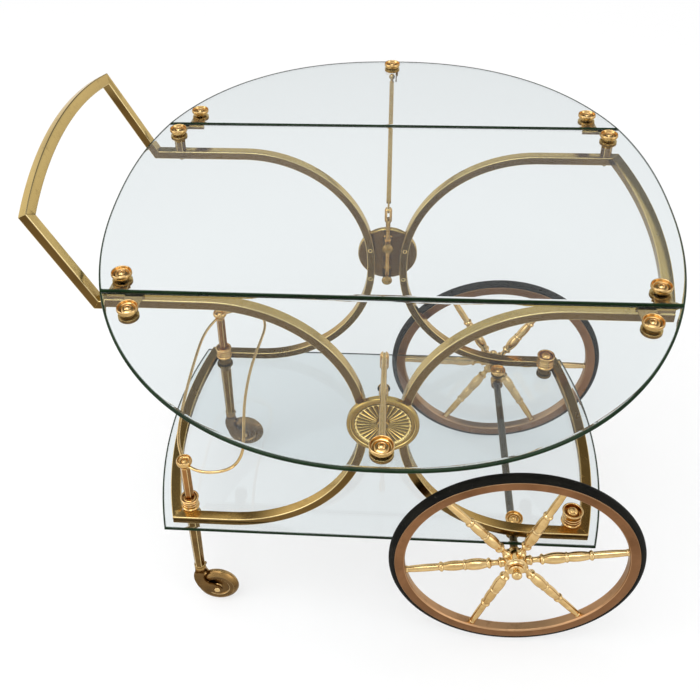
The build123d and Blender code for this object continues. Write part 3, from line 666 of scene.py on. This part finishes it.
upCorner = (cart["upperRightX"], bows["upper"])
lowRightCorner = (cart["lowerRightX"], bows["lowerRight"])
lowLeftCorner = (-cart["lowerLeftX"], bows["lowerLeft"])
leftSide = sideBar((-handle["bendX"], bendNormal), cornerCut(*lowLeftCorner)).moved(mirrorX)
rightSide = sideBar(cornerCut(*upCorner), cornerCut(*lowRightCorner))
lowered = at(0, 0, cart["lowerZ"])
grip, arms = handleParts()
bars = {
    "sideBarLeft": (bothSides(leftSide), "side_bars_left"),
    "sideBarRight": (bothSides(rightSide), "side_bars_right"),
    "handleGrip": (grip, "handle_grip"),
    "handleArms": (arms, "handle_arms"),
    "upperCrossBar": (bowedBar(*upCorner).moved(at(0, 0, cart["upperZ"])), "upper_cross_bar"),
    "lowerCrossBarRight": (bowedBar(*lowRightCorner).moved(lowered), "lower_cross_bar_right"),
    "lowerCrossBarLeft": (bowedBar(*lowLeftCorner).moved(lowered).moved(mirrorX), "lower_cross_bar_left"),
}
for name, (shell, node) in bars.items():
    makePiece(name, shell, barBrass, node)
print("bars made")

# Glass top in three panels, and the tray
top = {"halfLength": 355.0, "halfDepth": 451.0, "power": 2.23, "gap": 1.0}
tray = {"sideReach": 9.5, "rightReach": 10.0, "rightBow": 4.0, "leftReach": 11.5, "leftBow": 2.5}
topZ = cart["topUnder"] + cart["glass"]


# Edge of the top: |x / halfLength| ^ power + |y / halfDepth| ^ power = 1
def topEdgeX(y):
    return top["halfLength"] * (1 - np.abs(y / top["halfDepth"]) ** top["power"]) ** (1 / top["power"])


def drooped(shell):
    centre = at(0, -cart["jointY"], cart["hingeZ"])
    return shell.moved(centre @ turn(cart["droop"], "X") @ centre.inverted())


def glassPanels():
    edge = cart["jointY"] - top["gap"] / 2
    y = np.linspace(-edge, edge, 61)
    outline = np.vstack([np.column_stack([topEdgeX(y), y]), np.column_stack([-topEdgeX(y[::-1]), y[::-1]])])
    centre = panelShell(outline, cart["topUnder"], topZ)
    start = cart["jointY"] + top["gap"] / 2
    first = math.asin((start / top["halfDepth"]) ** (top["power"] / 2))
    a = np.linspace(first, math.pi - first, 121)
    x = top["halfLength"] * np.sign(np.cos(a)) * np.abs(np.cos(a)) ** (2 / top["power"])
    leafOutline = np.column_stack([x, -top["halfDepth"] * np.sin(a) ** (2 / top["power"])])
    return centre, drooped(panelShell(leafOutline, cart["topUnder"], topZ))


# The tray reaches past the bars, and its ends bow a little more than they do
def trayPanel():
    deep = barOut + tray["sideReach"]
    ends = []
    for x, bow, sign in ((cart["lowerRightX"] + tray["rightReach"], bows["lowerRight"] + tray["rightBow"], 1),
                         (-cart["lowerLeftX"] + tray["leftReach"], bows["lowerLeft"] + tray["leftBow"], -1)):
        radius = (deep ** 2 + bow ** 2) / (2 * bow)
        angle = np.linspace(-math.asin(deep / radius), math.asin(deep / radius), 41)
        ends.append(np.column_stack([sign * (x + bow - radius + radius * np.cos(angle)),
                                     sign * radius * np.sin(angle)]))
    return panelShell(np.vstack(ends), cart["trayUnder"], cart["trayTop"])


centrePanel, leafPanel = glassPanels()
panels = [("centrePanel", centrePanel, "centre_glass", "frame"),
          ("trayPanel", trayPanel(), "tray_glass", "frame")]
for side, flip in sides:
    panels.append((f"{side}LeafPanel", leafPanel.moved(flip), f"{side}_leaf_glass", f"{side}_leaf"))
for name, shell, node, body in panels:
    makePiece(name, shell, clearGlass, node, body, 32)
print("glass made")

# Knobs, discs and posts that hold the glass
cupKnob = turnedShell(
    (0, 0), (10.6, 0), (10.6, 1.4), (12.0, 2.0), (12.5, 4.0, 12.1, 5.8), (11.5, 6.7, 10.8, 6.1), (9.9, 3.4),
    (8.6, 2.8), (6.4, 4.2, 4.4, 4.6), (4.2, 4.1), (3.9, 4.1), dome(3.9, 4.1, 1.9), soft=0.25, segments=56)
discThick, discDrop = 5.0, 7.0  # hinge plates hold the discs lower, apart from those at the leaves' edges
underDisc = turnedShell(
    (0, 0), (10.8, 0), (11.8, 0.6, 12.0, 1.6), (12.0, discThick), (0, discThick), segments=56)
stud = {"x": 285.3, "sideY": -238.0, "edgeY": -425.5}
leafSpots = [(-stud["x"], stud["sideY"]), (stud["x"], stud["sideY"]), (0, stud["edgeY"])]
postSpots = [(x, y) for x in (-cart["postX"], cart["postX"]) for y in (-cart["sideY"], cart["sideY"])]


def straightShell(low, high, outline, scale=None):
    path = np.zeros((2 if scale is None else len(scale), 3))
    path[:, 2] = np.linspace(low, high, len(path))
    return sweptShell(path, (1, 0, 0), outline, scale=scale, seam=0.3)


def centrePost():
    post = straightShell(upperTop, cart["topUnder"] - discDrop, hexOutline(14.0))
    nut = turnedShell((0, -4.6), (2.0, -4.3), (5.2, -0.8), (5.2, 0), (0, 0))
    return joined([post, nut.moved(at(0, 0, cart["upperZ"] - barHalf))])


makePiece("centreKnobs", atSpots(cupKnob, postSpots, topZ), knobGold, "centre_knobs")
makePiece("centreDiscs", atSpots(underDisc, postSpots, cart["topUnder"] - discDrop), postBronze,
          "centre_discs")
makePiece("centrePosts", atSpots(centrePost(), postSpots), postBronze, "centre_posts")
leafKnobs = drooped(atSpots(cupKnob, leafSpots, topZ))
leafDiscs = drooped(joined([atSpots(underDisc, leafSpots[:2], cart["topUnder"] - discDrop),
                            atSpots(underDisc, leafSpots[2:], cart["topUnder"] - discThick)]))
for side, flip in sides:
    leaf = f"{side}_leaf"
    makePiece(f"{side}LeafKnobs", leafKnobs.moved(flip), knobGold, f"{leaf}_knobs", leaf)
    makePiece(f"{side}LeafDiscs", leafDiscs.moved(flip), postBronze, f"{leaf}_discs", leaf)
    brokenEdgeCopy(f"{side}LeafHinges", f"{leaf}_hinge_plates", postBronze, 0.3, leaf)
    brokenEdgeCopy(f"{side}LeafCatch", f"{leaf}_catch", postBronze, 0.2, leaf)
brokenEdgeCopy("centreHinges", "centre_hinge_plates", postBronze, 0.3)
brokenEdgeCopy("hingePins", "hinge_pins", postBronze, 0.2)
print("top fittings made")

# Medallions: moulded plate, fluted sunburst and ringed boss
medal = {"flutes": 32, "rosetteR": 36.0, "innerR": 8.4, "across": 14, "rings": 40, "floor": 3.0,
         "low": 5.3, "crown": 1.6, "scoopIn": 0.5, "scoopOut": 1.9, "scoopEnd": 0.97, "glint": 0.935}


def onSide(shell):
    return bothSides(shell.moved(at(0, -barOut, cart["medallionZ"]) @ facingNear))


# Sunburst height: a low crown, less a hollow across each flute that deepens outwards and stops short
# of the rim in a rounded end. Across a flute the hollow is 1 - u^2, with u from -1 to 1 at its ridges.
# Ridges are worn bright with a painted highlight, by |u|^6, the scoops' ends get a painted highlight, by a
# bell curve on the share of the radius, and the flute bottoms get painted shade.
def sunburst():
    around = medal["flutes"] * medal["across"]
    angle = np.arange(around) / around * 2 * math.pi
    u = (np.arange(around) % medal["across"]) / medal["across"] * 2 - 1
    share = np.sin(np.linspace(0, math.pi / 2, medal["rings"]))[:, None]  # rings lie closer near the rim
    r = medal["innerR"] + (medal["rosetteR"] - medal["innerR"]) * share
    crown = medal["low"] + medal["crown"] * np.sin(share * math.pi * 0.62)
    depth = medal["scoopIn"] + medal["scoopOut"] * share
    stop = np.clip((medal["scoopEnd"] - share) / 0.13, 0, 1) ** 0.5
    z = crown - depth * (1 - u ** 2) * stop
    # Painted shade in the flute bottoms, painted highlight on the ridges and at the scoops' ends
    worn = np.abs(u) ** 6 - 0.75 * (1 - np.abs(u)) ** 0.7 * stop
    worn = (worn + 1.3 * np.exp(-((share - medal["glint"]) / 0.035) ** 2)).clip(-1, 1)
    grid = np.stack([r * np.cos(angle), r * np.sin(angle), z], -1)
    low = np.column_stack([ringPoints(medal["rosetteR"], angle), np.full(around, medal["floor"])])
    return closedGrid(np.concatenate([grid, low[None]]), np.vstack([worn, np.zeros(around)]))


rim = cart["medallionR"]
medalPlate = turnedShell(
    (0, 0), (rim - 1.0, 0), (rim, 1.0), (rim, 5.5), (rim - 0.8, 8.2, rim - 3.4, 8.6), (rim - 5.4, 8.0),
    (rim - 6.0, 6.8), (medal["rosetteR"] + 0.6, 6.4), (medal["rosetteR"] + 0.3, medal["floor"]),
    (0, medal["floor"]), segments=128, soft=0.5)
medalBoss = turnedShell(
    (0, medal["floor"]), (8.3, medal["floor"]), (8.3, 7.0), (8.0, 8.6, 6.8, 8.8), (5.8, 8.2, 5.6, 7.4),
    dome(5.6, 7.4, 4.0), segments=64)
plates = makePiece("medallionPlates", onSide(medalPlate), medallionGold, "medallion_plates")
plates.data.materials.append(plateBack)
backPlane = (barOut + 0.3) * millimetre
isBack = np.array([abs(face.center[1]) < backPlane for face in plates.data.polygons], np.int32)
plates.data.polygons.foreach_set("material_index", isBack)  # the dull back shows between the bars
makePiece("rosettes", onSide(sunburst()), medallionGold, "rosettes", smooth=50)
makePiece("medallionBosses", onSide(medalBoss), medallionGold, "medallion_bosses")
brokenEdgeCopy("stayLugs", "stay_lugs", stayGold, 0.7)

# Socket screws that clamp each medallion to the two curved bars, on the inner faces: (x, z) from its centre
screw = {"radius": 3.4, "rise": 1.1, "socket": 2.2, "floor": 0.2, "places": ((26.6, 16.0), (25.8, -38.0))}
screwHead = turnedShell(
    (0, 0), (screw["radius"], 0), (screw["radius"], 0.5),
    (screw["radius"] - 0.1, screw["rise"], screw["socket"] + 0.4, screw["rise"]), (screw["socket"], 0.9),
    (screw["socket"], screw["floor"]), (0, screw["floor"]), segments=32)
# Painted shade fills the socket, and the top rim is a worn edge with a painted highlight
screwHead.wear[np.hypot(*screwHead.points[:, :2].T) < screw["socket"] + 0.1] = -1.0
screwHead.wear[screwHead.points[:, 2] > screw["rise"] - 0.15] = 1.0
screws = [screwHead.moved(at(way * x, -barIn, cart["medallionZ"] + z) @ turn(-90, "X"))
          for way in (-1, 1) for x, z in screw["places"]]
makePiece("medallionScrews", bothSides(joined(screws)), medallionGold)
print("medallions made")

# Stays and their pivot rods
for side, flip in sides:
    brokenEdgeCopy(f"{side}PivotRod", f"{side}_pivot_rod", knobGold, 0.3, f"{side}_pivot")
    brokenEdgeCopy(f"{side}Stay", f"{side}_stay", stayGold, 0.3, f"{side}_prop")


# Tray corners: cups, rail and legs. A cup has a foot ring, a waist, a banded barrel and a rolled rim.
def cupSide(radius, high):
    steps = [(radius - 0.6, 0), (radius, 1.6, radius - 0.6, 3.0), (radius - 1.6, 3.6), (radius - 1.6, 4.6)]
    for low in (5.2, 9.6):
        steps += [(radius - 0.9, low), (radius - 0.9, low + 3.2), (radius - 1.5, low + 3.6)]
    return steps + [(radius - 1.0, high - 5), (radius, high - 2.4),
                    (radius - 0.4, high, radius - 2.2, high - 0.4)]


leftCup = turnedShell((0, 0), *cupSide(12.8, 19.0), (10.2, 15.2), (9.4, 15.2), (9.0, 17.0, 7.2, 17.8),
                      (6.0, 17.2), (0, 17.2), segments=56)
rightCup = turnedShell((0, 0), *cupSide(14.0, 23.0), (10.8, 16.0), (9.2, 16.0), dome(9.2, 16.0, 9.2),
                       segments=56)
leftSpots, rightSpots = ([(cart[x], y) for y in (-cart["cornerY"], cart["cornerY"])]
                         for x in ("leftCornerX", "rightCornerX"))
bossR = 11.0
cornerBoss = turnedShell((0, cart["trayTop"]), (bossR, cart["trayTop"]), (bossR, lowerTop), (0, lowerTop))
makePiece("cornerBosses", atSpots(cornerBoss, leftSpots + rightSpots), barBrass, "corner_bosses")
makePiece("leftCups", atSpots(leftCup, leftSpots, lowerTop), knobGold, "left_cups")
makePiece("rightCups", atSpots(rightCup, rightSpots, lowerTop), knobGold, "right_cups")
makePiece("trayDiscs", atSpots(underDisc, rightSpots, cart["trayUnder"] - discThick), postBronze,
          "tray_discs")

rail = {"cupFloor": 13.8, "knobLow": 292.0, "wireZ": 298.5, "wireR": 2.2, "postFlats": 12.5, "knobGap": 6.0}
railPost = straightShell(lowerTop + rail["cupFloor"], rail["knobLow"], hexOutline(rail["postFlats"]))
railKnob = turnedShell(
    (0, 0), (7.0, 0), (8.0, 4.0, 10.6, 8.0), (11.2, 11.0, 10.2, 14.0), (9.4, 14.6, 8.8, 13.8),
    (7.4, 11.0, 4.6, 10.6), dome(4.6, 10.6, 2.4), segments=56)
makePiece("railPosts", atSpots(railPost, leftSpots), railBronze, "rail_posts")
makePiece("railKnobs", atSpots(railKnob, leftSpots, rail["knobLow"]), knobGold, "rail_knobs")


# One strand of the rail: a smooth level curve through points mirrored about the middle, cut off in the knobs
def railStrand(half, middle):
    near = [(cart["leftCornerX"] + inwards, -share * cart["cornerY"]) for inwards, share in half]
    points = near + [(cart["leftCornerX"] + middle, 0)] + [(x, -y) for x, y in reversed(near)]
    path = smoothPath(points, 120)
    toPost = np.hypot(path[:, 0] - cart["leftCornerX"], np.abs(path[:, 1]) - cart["cornerY"])
    path = np.column_stack([path, np.full(len(path), rail["wireZ"])])[toPost > rail["knobGap"]]
    return sweptShell(path, (0, 0, 1), roundOutline(rail["wireR"], 16))


railWire = joined([
    railStrand([(0, 1), (-14, 0.788), (-21.5, 0.43)], -23),
    railStrand([(0, 1), (18, 1.071), (44, 1.086), (66.5, 1.022), (76.5, 0.868), (75.5, 0.677), (68, 0.277)],
               66.5)])
makePiece("bottleRail", railWire, spokeGold, "bottle_rail")


def leg():
    low, neck, under = 80.0, cart["trayUnder"] - 15, cart["trayUnder"]
    head = turnedShell((0, neck - 0.5), (8.4, neck), (11.0, under - 7, 13.4, under - 3), (13.4, under),
                       (0, under))
    shaft = straightShell(low, neck, hexOutline(16.0), np.linspace(0.8625, 1.0, 6))
    foot = turnedShell((0, low - 7), (8.4, low - 7), (7.4, low - 4.6), (8.0, low - 4),
                       (8.6, low - 2, 8.0, low), (0, low))
    return joined([head, shaft, foot])


makePiece("legs", atSpots(leg(), leftSpots), postBronze, "legs")
print("tray corners made")

# Casters; the roller's tread is an arc between two webbed faces
casterWheelSide = [(2.55, -7.5), (7.0, -7.5), (7.6, -5.9), (17.0, -5.1), (18.4, -6.9), (25.0, -7.1)]
casterSteps = casterWheelSide[1:] + [(29.8, -4.2, cart["casterR"], 0), (29.8, 4.2, 25.0, 7.1)]
casterSteps += [(r, -z) for r, z in reversed(casterWheelSide[:-1])]
casterRoller = turnedShell(casterWheelSide[0], *casterSteps, soft=0.5, segments=72, ring=True)
pinEnd = 11.5
casterPin = turnedShell((0, -pinEnd - 2.2), (4.2, -pinEnd - 1.6), (4.6, -pinEnd), (2.5, -pinEnd),
                        (2.5, pinEnd), (4.6, pinEnd), (4.2, pinEnd + 1.6), (0, pinEnd + 2.2))
hubPlace = at(cart["leftCornerX"] + cart["casterTrail"], -cart["cornerY"], cart["casterR"]) @ facingNear
for side, flip in sides:
    caster = f"{side}_caster"
    makePiece(f"{side}CasterRoller", casterRoller.moved(hubPlace).moved(flip), casterBronze,
              f"{caster}_wheel", f"{side}_roller")
    makePiece(f"{side}CasterPin", casterPin.moved(hubPlace).moved(flip), spokeGold, f"{caster}_pin", caster)
    brokenEdgeCopy(f"{side}CasterFork", f"{caster}_fork", casterBronze, 0.8, caster)
print("casters made")

# Axle, its hangers and the two spoked wheels
axleEnd, hangerInset = cart["wheelY"] + 9, 15.5
axleRod = turnedShell((0, -axleEnd), (4.5, -axleEnd), (5.5, -axleEnd + 1), (5.5, axleEnd - 1),
                      (4.5, axleEnd), (0, axleEnd), segments=32)
makePiece("axle", axleRod.moved(at(cart["wheelX"], 0, cart["wheelR"]) @ facingNear), axleBronze, "axle")
brokenEdgeCopy("axleHangers", "axle_hangers", postBronze, 0.4)
brokenEdgeCopy("axleCollars", "axle_collars", postBronze, 0.3)
makePiece("hangerKnobs", bothSides(cupKnob.moved(at(cart["wheelX"], hangerInset - barIn, cart["trayTop"]))),
          knobGold, "hanger_knobs")

wheelR = cart["wheelR"]
rimIn, rimOut, tyreSeat = wheelR - 22.5, wheelR - 8.2, wheelR - 12.0
hubShell = turnedShell(
    (5.55, -15), (10.0, -15), (10.0, -12.0), (12.0, -10.0), (15.0, -8.6), (16.2, 0, 15.0, 8.6), (12.4, 10.0),
    (11.2, 12.4), (12.0, 14.0), (5.55, 14.0), ring=True, segments=56)
capShell = turnedShell(
    (0, 14.2), (9.0, 14.2), (9.8, 16.0, 8.4, 17.6), (5.0, 18.8), (5.0, 20.4), (7.2, 23.8, 4.0, 28.0),
    dome(4.0, 28.0, 1.4), segments=48)
rimShell = turnedShell(
    (rimIn, -5.5), (rimIn + 1.4, -7.5), (rimOut, -7.5), (rimOut, -5.6), (tyreSeat, -5.0), (tyreSeat, 5.0),
    (rimOut, 5.6), (rimOut, 7.5), (rimIn + 1.4, 7.5), (rimIn, 5.5), ring=True, segments=192, soft=0.5)
tyreShell = turnedShell(
    (tyreSeat, -5.0), (rimOut, -5.6), (rimOut + 0.6, -7.2), (wheelR - 2.6, -5.8, wheelR, 0),
    (wheelR - 2.6, 5.8, rimOut + 0.6, 7.2), (rimOut, 5.6), (tyreSeat, 5.0), ring=True, segments=192, soft=0.3)
spokeShell = turnedShell(
    (0, 13.0), (6.4, 13.0), (6.4, 19.0), (7.0, 20.5, 6.4, 22.0), (4.2, 23.4),
    (3.8, 28.0, 4.6, 33.0), (6.9, 34.6), (7.4, 36.2, 6.9, 37.8), (5.6, 39.4),
    (8.0, 53.0, 6.6, 67.4), (7.3, 68.8), (7.3, 70.6), (6.2, 71.8), (6.2, 73.0),
    (6.9, 87.0, 5.2, 99.6), (6.6, 101.2), (7.0, 102.8, 6.6, 104.4), (4.9, 106.0),
    (5.2, 128.0, 4.4, 149.0), (5.0, 150.2), (5.0, 153.6), (0, 153.6), segments=28, soft=0.35)
wheelPlace = at(cart["wheelX"], -cart["wheelY"], wheelR) @ facingNear
wheelLooks = {"hub": spokeGold, "cap": spokeGold, "rim": rimCopper, "tyre": tyreRubber, "spokes": spokeGold}
for (side, flip), first in zip(sides, (11.0, 0.0)):  # degrees at which the first spoke stands
    spokeSet = joined([spokeShell.moved(turn(first + 60 * i, "Z") @ turn(90, "Y")) for i in range(6)])
    shells = {"hub": hubShell, "cap": capShell, "rim": rimShell, "tyre": tyreShell, "spokes": spokeSet}
    for part, shell in shells.items():
        makePiece(f"{side}Wheel{part.capitalize()}", shell.moved(wheelPlace).moved(flip), wheelLooks[part],
                  f"{side}_wheel_{part}", f"{side}_wheel")
print("wheels made")


# Floor and light: the floor and the sky behind it look white, and the floor keeps a soft shadow
studio = {"floorSize": 14.0, "floorZ": -0.0012, "shadowShare": 0.35, "floorTones": ((0.96,) * 3, (0.9,) * 3),
          "white": (1, 1, 1), "dark": 0.17, "above": 1.3, "front": 0.65, "left": 0.9, "right": 0.7}


def whiteFloor():
    s = Sheet(bpy.data.materials.new("whiteFloor"))
    seen = s.maths("MINIMUM", s.ray("Camera") + s.ray("Glossy") + s.ray("Transmission"), 1.0)
    tone = s.mix(s.noise(40.0, 3.0) * 0.01, *studio["floorTones"])
    matte = s.node("ShaderNodeBsdfDiffuse", {}, {"Color": tone})
    glow = s.node("ShaderNodeEmission", {}, {"Color": studio["white"], "Strength": 1.0})
    return s.surface(s.mixShaders(seen * (1 - studio["shadowShare"]), matte, glow))


floorCorners = np.array([(-1, -1, 0), (1, -1, 0), (1, 1, 0), (-1, 1, 0)]) * studio["floorSize"] / 2
floorMesh = bpy.data.meshes.new("floor")
floorMesh.from_pydata((floorCorners + (0, 0, studio["floorZ"])).tolist(), [], [(0, 1, 2, 3)])
floorMesh.materials.append(whiteFloor())
newObject("floor", floorMesh)


# Sky as the metal sees it: dark, with light from overhead, the front and both ends, and a white horizon.
# The camera sees plain white, also through glass.
def studioWorld():
    s = Sheet(bpy.data.worlds.new("studio"), "ShaderNodeOutputWorld")
    across, depth, height = (s.part(s.place("Generated"), axis) for axis in "XYZ")
    sky = studio["dark"] + s.ramp(height, 0.86, 0.96, 0.0, studio["above"])
    sky = sky + s.ramp(depth, 0.1, -0.3, 0.0, studio["front"])
    sky = sky + s.ramp(across, -0.4, -0.7, 0.0, studio["left"])
    sky = sky + s.ramp(across, 0.4, 0.7, 0.0, studio["right"])
    sky = s.maths("MAXIMUM", sky, s.ramp(height, 0.2, 0.06))
    white = s.maths("MAXIMUM", s.ray("Camera"), s.ray("Transmission"))
    level = white + (1 - white) * sky
    glow = s.node("ShaderNodeBackground", {}, {"Color": studio["white"], "Strength": level})
    bpy.context.scene.world = s.surface(glow)


def softLamp(name, place, size, power):
    data = bpy.data.lights.new(name, "AREA")
    data.shape = "RECTANGLE"
    data.size, data.size_y = size
    data.energy = power
    lamp = newObject(name, data)
    lamp.location = place
    lamp.rotation_mode = "QUATERNION"
    lamp.rotation_quaternion = (lampAim - Vector(place)).to_track_quat("-Z", "Y")


studioWorld()
lampAim = Vector((0, 0, 0.4))
softLamp("topBox", (-0.5, -0.9, 2.9), (2.0, 1.0), 24)
softLamp("leftBox", (-2.6, -0.9, 1.7), (1.0, 2.0), 10)
softLamp("rightBox", (2.6, -1.4, 1.5), (0.8, 1.8), 6)
print("studio lit")

# Camera at the photograph's viewpoint; angles in radians, places in metres, picture 700 pixels square
lens = {"place": (0.002818, -1.062006, 1.294913), "azimuth": -0.0908181873, "down": 0.639852875,
        "roll": -0.0297568758, "focal": 969.482293, "centre": (317.976726, 278.882848), "picture": 700.0}


# Right and up turn about the line of sight by the roll; the picture's centre is reached by the lens shift
def photoCamera():
    az, el, roll = lens["azimuth"], lens["down"], lens["roll"]
    forward = np.array([math.sin(az) * math.cos(el), math.cos(az) * math.cos(el), -math.sin(el)])
    right = np.array([math.cos(az), -math.sin(az), 0.0])
    up = np.cross(right, forward)
    turnedRight = right * math.cos(roll) + up * math.sin(roll)
    turnedUp = -right * math.sin(roll) + up * math.cos(roll)
    data = bpy.data.cameras.new("photoCamera")
    data.sensor_width = 36.0
    data.lens = lens["focal"] / lens["picture"] * data.sensor_width
    data.shift_x = (lens["picture"] / 2 - lens["centre"][0]) / lens["picture"]
    data.shift_y = (lens["centre"][1] - lens["picture"] / 2) / lens["picture"]
    data.clip_start, data.clip_end = 0.05, 60.0
    camera = newObject("photoCamera", data)
    matrix = np.eye(4)
    matrix[:3] = np.column_stack([turnedRight, turnedUp, -forward, lens["place"]])
    camera.matrix_world = Matrix(matrix.tolist())
    bpy.context.scene.camera = camera


photoCamera()
bpy.context.scene.view_settings.view_transform = "Standard"

print("scene ready")
